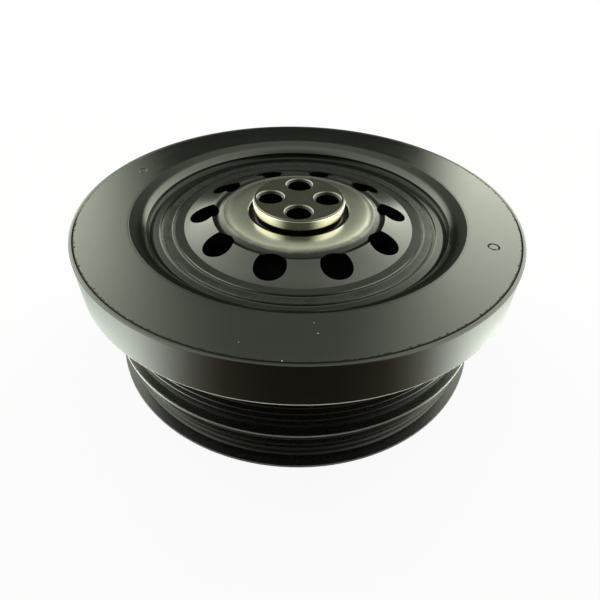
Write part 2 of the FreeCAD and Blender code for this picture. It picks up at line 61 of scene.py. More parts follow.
# Radii and heights of the hub's zones and of the belt pulley's edges

SPIGOT_RADIUS = 20.0 * MM
RELIEF_RADIUS = 21.95 * MM
SEAT_RADIUS = 33.6 * MM
SEAT_Z = face_z - 2.3 * MM
BOLT_CIRCLE_RADIUS = 12.3 * MM
BOLT_MOUTH_RADIUS = 6.25 * MM
BOLT_MOUTH_WIDTH = 0.40 * MM
BARE_SEAT_RADIUS = 30.4 * MM
COATED_SEAT_RADIUS = 34.9 * MM
SCOOP_RADIUS = 37.8 * MM
PULLEY_BORE = 73.8 * MM
MIDDLE_FLANGE_RADIUS = 85.6 * MM
MIDDLE_FLANGE_TOP = 19.64 * MM
LOW_FLANGE_TOP = 1.3 * MM
EDGE_SOFT = 0.05 * MM


# The photograph's camera: 28 mm lens on a 36 mm sensor, close and above

CAMERA_PLACE = Vector((0.0, -182.5 * MM, face_z + 100.07 * MM))
CAMERA_TARGET = Vector((0.0, 0.0, face_z))
FOCAL_LENGTH = 28.006
SENSOR_WIDTH = 36.0
CAMERA_PITCH = math.radians(11.57)
CAMERA_ROLL = math.radians(1.36)
CAMERA_YAW = math.radians(-0.40)


def make_camera():
    """A camera that looks at the damper's face, then dips, turns and rolls a little."""
    forward = (CAMERA_TARGET - CAMERA_PLACE).normalized()
    right = forward.cross(Vector((0, 0, 1))).normalized()
    down = forward.cross(right)
    level = Matrix((right, down, forward))
    pitch = Matrix.Rotation(CAMERA_PITCH, 3, "X")
    yaw = Matrix.Rotation(CAMERA_YAW, 3, "Y")
    roll = Matrix.Rotation(CAMERA_ROLL, 3, "Z")
    seen = roll @ pitch @ yaw @ level
    turned = Matrix((seen[0], -seen[1], -seen[2])).transposed()
    data = bpy.data.cameras.new("photo_camera")
    data.lens = FOCAL_LENGTH
    data.sensor_width = SENSOR_WIDTH
    camera = bpy.data.objects.new("photo_camera", data)
    bpy.context.scene.collection.objects.link(camera)
    camera.matrix_world = Matrix.Translation(CAMERA_PLACE) @ turned.to_4x4()
    data.clip_start = 0.01
    data.clip_end = 50
    bpy.context.scene.camera = camera


# Studio: white floor and world, soft lamps, and a light tent round the object whose
# brightness only reflections see. Angles are in degrees: azimuth 0 lies behind the
# object and 90 to its right, turn 0 lies before it.

LAMP_TINT = (0.95, 1.0, 0.86)
LAMP_DISTANCE = 1.3
SIDE_LAMP_SIZE = (0.95, 0.78)
OVERHEAD_LAMP_SIZE = (1.4, 1.0)
FLOOR_HALF_WIDTH = 6.0
FLOOR_COLOUR = (0.85, 0.85, 0.85)
# Painted shadow: the floor's colour inside the pulley's bore
FLOOR_PAINTED_SHADOW_COLOUR = (0.03, 0.03, 0.03)
SIDE_GLOW = 3.4
OVERHEAD_GLOW = 1.2
AMBIENT = 0.3
SHADOW_SHARE = 0.07

TENT_RADIUS = 4.0
TENT_SIDE_TINT = (0.95, 1.0, 0.83)
TENT_DARK_TINT = (0.90, 1.0, 0.80)
TENT_SIDE_LEVELS = ((0, 4.4), (34, 4.7), (40, 3.9), (50, 3.1), (58, 2.7), (66, 2.3), (75, 1.9), (90, 1.8))
TENT_BACK_LEVELS = ((0, 0.03), (24, 0.04), (28, 0.28), (36, 0.48), (40, 0.66), (48, 0.82), (58, 1.1),
                    (66, 1.6), (74, 1.9), (90, 1.8))
TENT_FRONT_LEVELS = ((0, 0.10), (45, 0.15), (55, 0.40), (65, 0.80), (75, 1.4), (90, 1.8))

# Azimuths between which the tent's dark back turns into its bright sides, low and high up

TENT_LEFT_EDGES = ((-35.0, -16.5), (-40.0, -12.0))
TENT_RIGHT_EDGES = ((14.5, 23.5), (8.0, 33.0))
TENT_EDGE_RISE = (32.0, 40.0)
TENT_FRONT_EDGE = (105.0, 155.0)

FLOOR_LEVELS = ((0, 0.11), (10, 0.12), (20, 0.18), (26, 0.25), (33, 0.55), (38, 0.9), (44, 1.65), (50, 2.4),
                (56, 3.0), (62, 3.15), (70, 2.7), (80, 1.9), (90, 1.25), (105, 1.0), (130, 0.7), (180, 0.25))
FLOOR_MIDDLE = 3.7
FLOOR_SIDE_TINT = (0.92, 1.0, 0.88)
FLOOR_FRONT_TINT = (1.0, 0.74, 0.52)
FLOOR_NEAR_GAIN = 0.5
CONTACT_SHADE_WIDTH = 3.0 * MM


def polar(azimuth, elevation, distance):
    """A point around the object: azimuth 0 lies behind it, 90 to its right."""
    a, e = math.radians(azimuth), math.radians(elevation)
    flat = distance * math.cos(e)
    return Vector((flat * math.sin(a), flat * math.cos(a), face_z + distance * math.sin(e)))


def make_softbox(name, place, width, height, glow):
    """A rectangular lamp of a given radiance, turned to the object."""
    data = bpy.data.lights.new(name, "AREA")
    data.shape = "RECTANGLE"
    data.size = width
    data.size_y = height
    data.energy = glow * width * height * 4
    data.color = LAMP_TINT
    lamp = bpy.data.objects.new(name, data)
    bpy.context.scene.collection.objects.link(lamp)
    lamp.location = place
    lamp.rotation_mode = "QUATERNION"
    lamp.rotation_quaternion = (CAMERA_TARGET - place).to_track_quat("-Z", "Y")
    lamp.visible_camera = False
    lamp.visible_glossy = False


def reflection_only(piece, colour, level, tree):
    """Let a stage piece glow for reflections, and for nothing else."""
    glow = tree.nodes.new("ShaderNodeEmission")
    tree.links.new(colour, glow.inputs["Color"])
    tree.links.new(level, glow.inputs["Strength"])
    output = tree.nodes.new("ShaderNodeOutputMaterial")
    tree.links.new(glow.outputs[0], output.inputs["Surface"])
    piece.visible_camera = False
    piece.visible_shadow = False
    piece.visible_diffuse = False


def new_glow(name):
    """An empty material that isn't sampled as a lamp, its tree and its coordinates."""
    material = bpy.data.materials.new(name)
    material.use_nodes = True
    material.cycles.emission_sampling = "NONE"
    tree = material.node_tree
    tree.nodes.clear()
    coordinates = tree.nodes.new("ShaderNodeTexCoord")
    parts = tree.nodes.new("ShaderNodeSeparateXYZ")
    tree.links.new(coordinates.outputs["Object"], parts.inputs[0])
    return material, tree, coordinates.outputs["Object"], parts.outputs


def make_tent():
    """A dome with bright sides, a dark back, a dim front and a grey top."""
    shell = bmesh.new()
    bmesh.ops.create_uvsphere(shell, u_segments=64, v_segments=32, radius=TENT_RADIUS)
    mesh = bpy.data.meshes.new("light_tent")
    shell.to_mesh(mesh)
    shell.free()
    tent = bpy.data.objects.new("light_tent", mesh)
    bpy.context.scene.collection.objects.link(tent)
    material, tree, place, parts = new_glow("light_tent")
    mesh.materials.append(material)
    flat, height = axis_distance(tree, place)
    azimuth = math_node(tree, "DEGREES", math_node(tree, "ARCTAN2", parts[0], parts[1]))
    rise = math_node(tree, "SUBTRACT", height, face_z)
    elevation = math_node(tree, "DEGREES", math_node(tree, "ARCTAN2", rise, flat))
    high = ramp_between(tree, elevation, *TENT_EDGE_RISE)
    left_first = mix_numbers(tree, high, TENT_LEFT_EDGES[0][0], TENT_LEFT_EDGES[1][0])
    left_last = mix_numbers(tree, high, TENT_LEFT_EDGES[0][1], TENT_LEFT_EDGES[1][1])
    right_first = mix_numbers(tree, high, TENT_RIGHT_EDGES[0][0], TENT_RIGHT_EDGES[1][0])
    right_last = mix_numbers(tree, high, TENT_RIGHT_EDGES[0][1], TENT_RIGHT_EDGES[1][1])
    left = math_node(tree, "SUBTRACT", 1.0, ramp_between(tree, azimuth, left_first, left_last))
    right = ramp_between(tree, azimuth, right_first, right_last)
    wide = math_node(tree, "ABSOLUTE", azimuth)
    front = ramp_between(tree, wide, *TENT_FRONT_EDGE)
    side = math_node(tree, "MULTIPLY", math_node(tree, "ADD", left, right),
                     math_node(tree, "SUBTRACT", 1.0, front))
    dark = mix_numbers(tree, ramp_between(tree, wide, 60.0, 110.0),
                       curve_through(tree, elevation, TENT_BACK_LEVELS),
                       curve_through(tree, elevation, TENT_FRONT_LEVELS))
    level = mix_numbers(tree, side, dark, curve_through(tree, elevation, TENT_SIDE_LEVELS))
    reflection_only(tent, mix_colours(tree, side, TENT_DARK_TINT, TENT_SIDE_TINT), level, tree)


def make_floor_ring(inner, steps=96):
    """A flat ring round the object that gives its sides the floor's light and dark."""
    corners = []
    for radius in (inner, TENT_RADIUS):
        for step in range(steps):
            turn = FULL_TURN * step / steps
            corners.append((radius * math.sin(turn), radius * math.cos(turn), 0.5 * MM))
    faces = []
    for step in range(steps):
        following = (step + 1) % steps
        faces.append((step, following, steps + following, steps + step))
    mesh = bpy.data.meshes.new("floor_ring")
    mesh.from_pydata(corners, [], faces)
    ring = bpy.data.objects.new("floor_ring", mesh)
    bpy.context.scene.collection.objects.link(ring)
    material, tree, place, parts = new_glow("floor_ring")
    mesh.materials.append(material)
    distance, _ = axis_distance(tree, place)
    far = ramp_between(tree, distance, 88 * MM, 130 * MM)
    ahead = math_node(tree, "MULTIPLY", parts[1], -1.0)
    turn = math_node(tree, "DEGREES", math_node(tree, "ARCTAN2", parts[0], ahead))
    turn = math_node(tree, "ABSOLUTE", math_node(tree, "SUBTRACT", turn, FLOOR_MIDDLE))
    tone = mix_colours(tree, ramp_between(tree, turn, 15.0, 50.0), FLOOR_FRONT_TINT, FLOOR_SIDE_TINT)
    level = math_node(tree, "MULTIPLY", curve_through(tree, turn, FLOOR_LEVELS),
                      mix_numbers(tree, far, 1 + FLOOR_NEAR_GAIN, 1.0))
    beside = ramp_between(tree, distance, inner, inner + CONTACT_SHADE_WIDTH)
    level = math_node(tree, "MULTIPLY", level, mix_numbers(tree, beside, 0.1, 1.0))
    reflection_only(ring, tone, level, tree)


def seen_directly(tree):
    """1 for camera, glossy and transmission rays, 0 for the rest."""
    path = tree.nodes.new("ShaderNodeLightPath")
    first = math_node(tree, "MAXIMUM", path.outputs["Is Camera Ray"], path.outputs["Is Glossy Ray"])
    return math_node(tree, "MAXIMUM", first, path.outputs["Is Transmission Ray"])


def make_world():
    """White where it is seen, and a plain dim light for the rest."""
    world = bpy.data.worlds.new("studio")
    bpy.context.scene.world = world
    world.use_nodes = True
    tree = world.node_tree
    tree.nodes.clear()
    seen = seen_directly(tree)
    strength = math_node(tree, "MULTIPLY_ADD", seen, 1 - AMBIENT, AMBIENT)
    background = tree.nodes.new("ShaderNodeBackground")
    background.inputs["Color"].default_value = (1, 1, 1, 1)
    tree.links.new(strength, background.inputs["Strength"])
    output = tree.nodes.new("ShaderNodeOutputWorld")
    tree.links.new(background.outputs[0], output.inputs["Surface"])


def make_floor():
    """A white floor that keeps a little shadow, with a painted shadow inside the pulley's bore."""
    half = FLOOR_HALF_WIDTH
    mesh = bpy.data.meshes.new("floor")
    mesh.from_pydata([(-half, -half, 0), (half, -half, 0), (half, half, 0), (-half, half, 0)],
                     [], [(0, 1, 2, 3)])
    floor = bpy.data.objects.new("floor", mesh)
    bpy.context.scene.collection.objects.link(floor)
    material = bpy.data.materials.new("pale_floor")
    material.use_nodes = True
    tree = material.node_tree
    tree.nodes.clear()
    coordinates = tree.nodes.new("ShaderNodeTexCoord")
    distance, _ = axis_distance(tree, coordinates.outputs["Object"])
    # Painted shadow: inside the pulley's bore the floor is dark and gets no glow
    outside = math_node(tree, "GREATER_THAN", distance, PULLEY_BORE)
    lit = tree.nodes.new("ShaderNodeBsdfDiffuse")
    tree.links.new(mix_colours(tree, outside, FLOOR_PAINTED_SHADOW_COLOUR, FLOOR_COLOUR),
                   lit.inputs["Color"])
    glow = tree.nodes.new("ShaderNodeEmission")
    glow.inputs["Color"].default_value = (1, 1, 1, 1)
    share = math_node(tree, "MULTIPLY", seen_directly(tree), 1 - SHADOW_SHARE)
    share = math_node(tree, "MULTIPLY", share, outside)
    mix = tree.nodes.new("ShaderNodeMixShader")
    tree.links.new(share, mix.inputs[0])
    tree.links.new(lit.outputs[0], mix.inputs[1])
    tree.links.new(glow.outputs[0], mix.inputs[2])
    output = tree.nodes.new("ShaderNodeOutputMaterial")
    tree.links.new(mix.outputs[0], output.inputs["Surface"])
    floor.data.materials.append(material)


# Small helpers for node trees

def math_node(tree, operation, *values, clamp=False):
    """A Math node whose inputs are numbers or sockets."""
    node = tree.nodes.new("ShaderNodeMath")
    node.operation = operation
    node.use_clamp = clamp
    for socket, value in zip(node.inputs, values):
        if isinstance(value, (int, float)):
            socket.default_value = value
        else:
            tree.links.new(value, socket)
    return node.outputs[0]


def ramp_between(tree, value, low, high):
    """0 below low, 1 above high, smooth between."""
    node = tree.nodes.new("ShaderNodeMapRange")
    node.interpolation_type = "SMOOTHSTEP"
    for name, bound in (("From Min", low), ("From Max", high)):
        if isinstance(bound, (int, float)):
            node.inputs[name].default_value = bound
        else:
            tree.links.new(bound, node.inputs[name])
    tree.links.new(value, node.inputs["Value"])
    return node.outputs["Result"]


def curve_through(tree, value, stops):
    """A number that follows stops of (value, number), with straight runs between them."""
    first, last = stops[0][0], stops[-1][0]
    numbers = [number for _, number in stops]
    low, span = min(numbers), max(numbers) - min(numbers)
    share = math_node(tree, "DIVIDE", math_node(tree, "SUBTRACT", value, first), last - first)
    node = tree.nodes.new("ShaderNodeValToRGB")
    tree.links.new(share, node.inputs["Fac"])
    elements = node.color_ramp.elements
    while len(elements) < len(stops):
        elements.new(1.0)
    for element, (at, number) in zip(elements, stops):
        element.position = (at - first) / (last - first)
        grey = (number - low) / span
        element.color = (grey, grey, grey, 1)
    return math_node(tree, "MULTIPLY_ADD", node.outputs["Color"], span, low)


def mix_colours(tree, factor, first, second):
    """The first colour at factor 0, the second at factor 1; both are tuples or sockets."""
    node = tree.nodes.new("ShaderNodeMix")
    node.data_type = "RGBA"
    for name, value in (("A", first), ("B", second)):
        socket = [s for s in node.inputs if s.name == name and s.type == "RGBA"][0]
        if isinstance(value, tuple):
            socket.default_value = (*value, 1)
        else:
            tree.links.new(value, socket)
    tree.links.new(factor, node.inputs[0])
    return [s for s in node.outputs if s.type == "RGBA"][0]


def mix_numbers(tree, factor, first, second):
    """The first number at factor 0, the second at factor 1; both are numbers or sockets."""
    node = tree.nodes.new("ShaderNodeMix")
    node.data_type = "FLOAT"
    tree.links.new(factor, node.inputs["Factor"])
    for socket, value in ((node.inputs["A"], first), (node.inputs["B"], second)):
        if isinstance(value, (int, float)):
            socket.default_value = value
        else:
            tree.links.new(value, socket)
    return node.outputs["Result"]


def new_group(name, inputs, outputs):
    """A shader node group with named inputs (name, default) and outputs (name, kind)."""
    group = bpy.data.node_groups.new(name, "ShaderNodeTree")
    group.interface.new_socket("Place", in_out="INPUT", socket_type="NodeSocketVector")
    for label, value in inputs:
        socket = group.interface.new_socket(label, in_out="INPUT", socket_type="NodeSocketFloat")
        socket.default_value = value
    for label, kind in outputs:
        group.interface.new_socket(label, in_out="OUTPUT", socket_type=kind)
    enter = group.nodes.new("NodeGroupInput")
    leave = group.nodes.new("NodeGroupOutput")
    return group, enter, leave


def axis_distance(tree, place):
    """(distance from the pulley's axis, height) of a point."""
    parts = tree.nodes.new("ShaderNodeSeparateXYZ")
    tree.links.new(place, parts.inputs[0])
    square_x = math_node(tree, "MULTIPLY", parts.outputs[0], parts.outputs[0])
    square = math_node(tree, "MULTIPLY_ADD", parts.outputs[1], parts.outputs[1], square_x)
    return math_node(tree, "SQRT", square), parts.outputs[2]


# Shared effects

def turning_group():
    """Fine rings left by the lathe: their height, and a slow drift from ring to ring."""
    group, enter, leave = new_group(
        "turning_marks", [("Pitch", 0.25 * MM), ("Drift", 3.0 * MM)],
        [("Rings", "NodeSocketFloat"), ("Bands", "NodeSocketFloat")])
    distance, height = axis_distance(group, enter.outputs["Place"])
    across = math_node(group, "ADD", distance, height)
    along = math_node(group, "SUBTRACT", distance, height)
    section = group.nodes.new("ShaderNodeCombineXYZ")
    group.links.new(across, section.inputs[0])
    group.links.new(along, section.inputs[1])
    for label, spacing, detail in (("Rings", "Pitch", 2.0), ("Bands", "Drift", 3.0)):
        noise = group.nodes.new("ShaderNodeTexNoise")
        noise.noise_dimensions = "2D"
        noise.inputs["Detail"].default_value = detail
        group.links.new(section.outputs[0], noise.inputs["Vector"])
        group.links.new(math_node(group, "DIVIDE", 1.0, enter.outputs[spacing]),
                        noise.inputs["Scale"])
        group.links.new(noise.outputs["Fac"], leave.inputs[label])
    return group


def speckle_group():
    """Grit under the coat: rough spots that come in patches."""
    group, enter, leave = new_group(
        "coat_grit", [("Grain", 0.6 * MM), ("Patch", 9.0 * MM), ("Cover", 0.5)],
        [("Grit", "NodeSocketFloat"), ("Spots", "NodeSocketFloat")])
    layers = {}
    for label, spacing in (("fine", "Grain"), ("wide", "Patch")):
        noise = group.nodes.new("ShaderNodeTexNoise")
        noise.inputs["Detail"].default_value = 3.0
        group.links.new(enter.outputs["Place"], noise.inputs["Vector"])
        group.links.new(math_node(group, "DIVIDE", 1.0, enter.outputs[spacing]),
                        noise.inputs["Scale"])
        layers[label] = noise.outputs["Fac"]
    patch = math_node(group, "SUBTRACT", layers["wide"], enter.outputs["Cover"])
    patch = math_node(group, "MULTIPLY_ADD", patch, 6.0, 0.5, clamp=True)
    group.links.new(math_node(group, "MULTIPLY", layers["fine"], patch), leave.inputs["Grit"])
    peak = math_node(group, "SUBTRACT", layers["fine"], 0.62)
    peak = math_node(group, "MULTIPLY", peak, 12.0, clamp=True)
    group.links.new(math_node(group, "MULTIPLY", peak, patch), leave.inputs["Spots"])
    return group


TURNING = turning_group()
GRIT = speckle_group()


def use_group(tree, group, place, **values):
    """A group's node with its place linked and its inputs set by name."""
    node = tree.nodes.new("ShaderNodeGroup")
    node.node_tree = group
    tree.links.new(place, node.inputs["Place"])
    for name, value in values.items():
        node.inputs[name].default_value = value
    return node


class Finish:
    """A material under construction: its tree, its shader and the object's coordinates."""

    def __init__(self, name, roughness=0.4, ior=1.5, metallic=0.0):
        self.material = bpy.data.materials.new(name)
        self.material.use_nodes = True
        self.tree = self.material.node_tree
        self.tree.nodes.clear()
        self.shader = self.tree.nodes.new("ShaderNodeBsdfPrincipled")
        self.shader.inputs["Roughness"].default_value = roughness
        self.shader.inputs["IOR"].default_value = ior
        self.shader.inputs["Metallic"].default_value = metallic
        output = self.tree.nodes.new("ShaderNodeOutputMaterial")
        self.tree.links.new(self.shader.outputs[0], output.inputs["Surface"])
        coordinates = self.tree.nodes.new("ShaderNodeTexCoord")
        self.place = coordinates.outputs["Object"]
        self.distance, self.height = axis_distance(self.tree, self.place)
        geometry = self.tree.nodes.new("ShaderNodeNewGeometry")
        self.normal = geometry.outputs["Normal"]

    def set(self, name, value):
        """Set or link one of the shader's inputs."""
        socket = self.shader.inputs[name]
        if isinstance(value, tuple):
            socket.default_value = (*value, 1)
        elif isinstance(value, (int, float)):
            socket.default_value = value
        else:
            self.tree.links.new(value, socket)

    def vector(self, operation, *values):
        """A Vector Math node's vector."""
        node = self.tree.nodes.new("ShaderNodeVectorMath")
        node.operation = operation
        for socket, value in zip(node.inputs, values):
            if isinstance(value, tuple):
                socket.default_value = value
            else:
                self.tree.links.new(value, socket)
        return node.outputs["Vector"]

    def outwards(self):
        """The world direction that leads away from the pulley's axis."""
        flat = self.vector("MULTIPLY", self.place, (1.0, 1.0, 0.0))
        turned = self.tree.nodes.new("ShaderNodeVectorTransform")
        turned.vector_type = "VECTOR"
        turned.convert_from = "OBJECT"
        turned.convert_to = "WORLD"
        self.tree.links.new(self.vector("NORMALIZE", flat), turned.inputs[0])
        return turned.outputs[0]

    def lean(self, slope):
        """Shade the surface as if it rose outwards by that slope more than it does."""
        node = self.tree.nodes.new("ShaderNodeVectorMath")
        node.operation = "SCALE"
        self.tree.links.new(self.outwards(), node.inputs[0])
        self.tree.links.new(slope, node.inputs["Scale"])
        self.normal = self.vector("NORMALIZE",
                                  self.vector("SUBTRACT", self.normal, node.outputs[0]))

    def turned_grain(self, share):
        """Stretch highlights across the lathe's rings, as they do on turned steel."""
        around = self.vector("CROSS_PRODUCT", (0.0, 0.0, 1.0), self.outwards())
        self.tree.links.new(self.vector("CROSS_PRODUCT", self.normal, around),
                            self.shader.inputs["Tangent"])
        self.set("Anisotropic", share)

    def bump(self, height, depth):
        """Shade the surface as if it had that height, in units of depth."""
        node = self.tree.nodes.new("ShaderNodeBump")
        node.inputs["Distance"].default_value = depth
        self.tree.links.new(height, node.inputs["Height"])
        self.tree.links.new(self.normal, node.inputs["Normal"])
        self.tree.links.new(node.outputs[0], self.shader.inputs["Normal"])

    def between(self, value, low, high, soft=EDGE_SOFT):
        """1 where the value lies between low and high."""
        rise = ramp_between(self.tree, value, low - soft, low + soft)
        fall = ramp_between(self.tree, value, high - soft, high + soft)
        return math_node(self.tree, "SUBTRACT", rise, fall)

    def both(self, first, second):
        """The share where both shares hold."""
        return math_node(self.tree, "MULTIPLY", first, second)

    def without(self, share):
        """The rest of a share."""
        return math_node(self.tree, "SUBTRACT", 1.0, share)


# Finishes

COAT_COLOUR = (0.0030, 0.0037, 0.0026)
COAT_THIN_COLOUR = (0.0050, 0.0058, 0.0042)
COAT_GRIT_COLOUR = (0.050, 0.054, 0.044)
COAT_ROUGHNESS = 0.17
SEAT_ROUGHNESS = 0.20
SPIGOT_ROUGHNESS = 0.15
PULLEY_ROUGHNESS = 0.26
RING_ROUGHNESS = 0.22
COAT_IOR = 1.50
FULL_SHEEN = 0.5
DIRT_SHEEN = 0.15
# Painted shade: the sheen left in the hub's scoop and in the bolt bores
SCOOP_PAINTED_SHADE_SHEEN = 0.2
RUST_SHEEN = 0.1
SEAM_DIRT_COLOUR = (0.0045, 0.0042, 0.0026)
# Bright edge colour: painted highlight on the housing's lower edge, partly wear and partly painted highlight
# on the pulley's flanges
EDGE_HIGHLIGHT_AND_WEAR_COLOUR = (0.80, 0.78, 0.70)
BARE_STEEL_COLOUR = (0.40, 0.388, 0.340)
BARE_STEEL_LIGHT_COLOUR = (0.47, 0.456, 0.40)
DARK_STEEL_COLOUR = (0.045, 0.043, 0.037)
DARK_STEEL_LIGHT_COLOUR = (0.075, 0.072, 0.063)
DARK_STEEL_STAIN_COLOUR = (0.06, 0.045, 0.03)
BOLT_MOUTH_COLOUR = (0.13, 0.127, 0.113)
SPIGOT_STEEL_COLOUR = (0.55, 0.538, 0.48)
SPIGOT_FILM_COLOUR = (0.34, 0.27, 0.15)
RUST_COLOUR = (0.006, 0.004, 0.003)
RUST_LIGHT_COLOUR = (0.022, 0.010, 0.006)
SEAM_HALF_WIDTH = 0.42 * MM
NICK_SPACING = 1 / 700
LEFT_PLUG_DIRT = 0.5
# Shares of the flanges' bright corner colour: partly wear, partly painted highlight
MIDDLE_FLANGE_HIGHLIGHT_AND_WEAR = 0.55
LOW_FLANGE_HIGHLIGHT_AND_WEAR = 0.3
SPIGOT_FILM_SHARE = 0.6
SEAT_GRAIN_SHARE = 0.35

# Slopes added to the shading of the mouth, the shelf, the seat and the ring seams: radius in
# metres and slope, which is negative where the surface falls outwards

MOUTH_LEAN = ((0.0650, 0.0), (0.0654, -0.04), (0.0660, -0.06), (0.0668, -0.12), (0.0675, -0.20),
              (0.0682, -0.28), (0.0690, -0.30), (0.0705, -0.24), (0.0712, -0.21), (0.0715, 0.05),
              (0.0724, 0.0))
SHELF_LEAN = ((0.0588, 0.0), (0.0589, -1.35), (0.0597, -1.35), (0.0598, -0.36), (0.0602, -0.36),
              (0.0606, 0.0), (0.0620, 0.0))
SEAT_LEAN = ((0.0240, 0.0), (0.0256, -0.01), (0.0290, -0.06), (0.0310, -0.12), (0.0340, -0.15),
             (0.0350, 0.0))
RING_LEAN = ((0.0539, 0.0), (0.0540, -1.35), (0.0547, -1.35), (0.0548, -0.36), (0.0551, -0.36),
             (0.0554, 0.0), (0.0590, 0.0))

# Painted shade: shares of the coat's sheen that are left, by radius in metres, lowered to darken the
# housing's recess and the locating ring

RECESS_PAINTED_SHADE = ((0.0600, 0.55), (0.0632, 0.55), (0.0642, 0.24), (0.0658, 0.24), (0.0664, 1.0))
RING_PAINTED_SHADE = ((0.0540, 0.6), (0.0565, 0.6), (0.0590, 0.8))


def coat(name, roughness=COAT_ROUGHNESS, ring_depth=0.0015, grit_depth=0.0, cover=0.5, lean=None,
         dirt=None, highlight_and_wear=None, painted_shade_sheen=None):
    """Black coat on turned steel.

    ring_depth and grit_depth are in millimetres. lean and the sheen shares are stops by radius, and the
    sheen shares are painted shade. dirt and the bright-edge function take the finish and give the share of
    dirt and of bright edge: painted highlight, on the pulley's flanges partly wear too.
    """
    finish = Finish(name, roughness, COAT_IOR)
    tree = finish.tree
    marks = use_group(tree, TURNING, finish.place, Pitch=0.35 * MM, Drift=4.0 * MM)
    grit = use_group(tree, GRIT, finish.place, Grain=0.7 * MM, Patch=9 * MM, Cover=cover)
    tone = mix_colours(tree, marks.outputs["Bands"], COAT_COLOUR, COAT_THIN_COLOUR)
    if grit_depth:
        tone = mix_colours(tree, grit.outputs["Spots"], tone, COAT_GRIT_COLOUR)
    dull = math_node(tree, "MULTIPLY_ADD", marks.outputs["Bands"], 0.08, roughness - 0.04)
    dull = math_node(tree, "MULTIPLY_ADD", grit.outputs["Grit"], 0.20 if grit_depth else 0.04, dull)
    if dirt:
        share = dirt(finish)
        tone = mix_colours(tree, share, tone, SEAM_DIRT_COLOUR)
        dull = math_node(tree, "MULTIPLY_ADD", share, 0.4, dull)
        finish.set("Specular IOR Level", mix_numbers(tree, share, FULL_SHEEN, DIRT_SHEEN))
    # Painted shade: the coat's sheen lowered by radius
    if painted_shade_sheen:
        left = curve_through(tree, finish.distance, painted_shade_sheen)
        finish.set("Specular IOR Level", math_node(tree, "MULTIPLY", left, FULL_SHEEN))
    # Bright edges: painted highlight, on the pulley's flanges partly wear too
    if highlight_and_wear:
        share = highlight_and_wear(finish)
        tone = mix_colours(tree, share, tone, EDGE_HIGHLIGHT_AND_WEAR_COLOUR)
        dull = math_node(tree, "MULTIPLY_ADD", share, 0.3, dull)
    finish.set("Base Color", tone)
    finish.set("Roughness", dull)
    if lean:
        finish.lean(curve_through(tree, finish.distance, lean))
    height = math_node(tree, "MULTIPLY", marks.outputs["Rings"], ring_depth)
    height = math_node(tree, "MULTIPLY_ADD", grit.outputs["Grit"], grit_depth, height)
    finish.bump(height, MM)
    return finish.material


def seam_dirt(finish):
    """Dirt in the seam of the cover, with nicks on its inner side, and round both plugs."""
    tree = finish.tree
    seam = finish.between(finish.distance, cover_radius - SEAM_HALF_WIDTH, cover_radius + SEAM_HALF_WIDTH)
    nicks = tree.nodes.new("ShaderNodeTexNoise")
    nicks.inputs["Detail"].default_value = 2.0
    nicks.inputs["Scale"].default_value = 1 / NICK_SPACING
    tree.links.new(finish.place, nicks.inputs["Vector"])
    reach = math_node(tree, "MULTIPLY_ADD", nicks.outputs["Fac"], -3.4 * MM, cover_radius + 1.25 * MM)
    nick = ramp_between(tree, math_node(tree, "SUBTRACT", finish.distance, reach), 0.0, 0.12 * MM)
    inner_side = finish.between(finish.distance, cover_radius - 1.5 * MM, cover_radius)
    share = math_node(tree, "MAXIMUM", seam, finish.both(nick, inner_side))
    for centre, strength in ((right_plug_centre, 1.0), (left_plug_centre, LEFT_PLUG_DIRT)):
        offset = finish.vector("SUBTRACT", finish.place, tuple(centre))
        reach, _ = axis_distance(tree, offset)
        ring = finish.between(reach, plug_radius - 0.05 * MM, plug_radius + 0.45 * MM)
        share = math_node(tree, "MAXIMUM", share, math_node(tree, "MULTIPLY", ring, strength))
    return finish.both(share, ramp_between(tree, finish.height, face_z - 0.6 * MM, face_z - 0.5 * MM))


def housing_painted_highlight(finish):
    """Painted highlight on the outer corner at the housing's lower edge."""
    low = finish.between(finish.height, housing_floor_z + 0.50 * MM, housing_floor_z + 0.95 * MM)
    outside = ramp_between(finish.tree, finish.distance, rim_radius - 1.0 * MM, rim_radius - 0.9 * MM)
    return finish.both(low, outside)


def flange_highlights_and_wear(finish):
    """The outer corners of the pulley's flanges, painted bright: partly wear, partly painted highlight."""
    middle_corner = finish.both(
        finish.between(finish.height, MIDDLE_FLANGE_TOP - 0.32 * MM, MIDDLE_FLANGE_TOP + 0.15 * MM),
        ramp_between(finish.tree, finish.distance, MIDDLE_FLANGE_RADIUS - 0.4 * MM,
                     MIDDLE_FLANGE_RADIUS - 0.3 * MM))
    low_corner = finish.both(
        finish.between(finish.height, LOW_FLANGE_TOP - 0.2 * MM, LOW_FLANGE_TOP + 0.1 * MM),
        ramp_between(finish.tree, finish.distance, pulley_radius - 0.3 * MM, pulley_radius - 0.2 * MM))
    return math_node(finish.tree, "ADD",
                     math_node(finish.tree, "MULTIPLY", middle_corner, MIDDLE_FLANGE_HIGHLIGHT_AND_WEAR),
                     math_node(finish.tree, "MULTIPLY", low_corner, LOW_FLANGE_HIGHLIGHT_AND_WEAR))


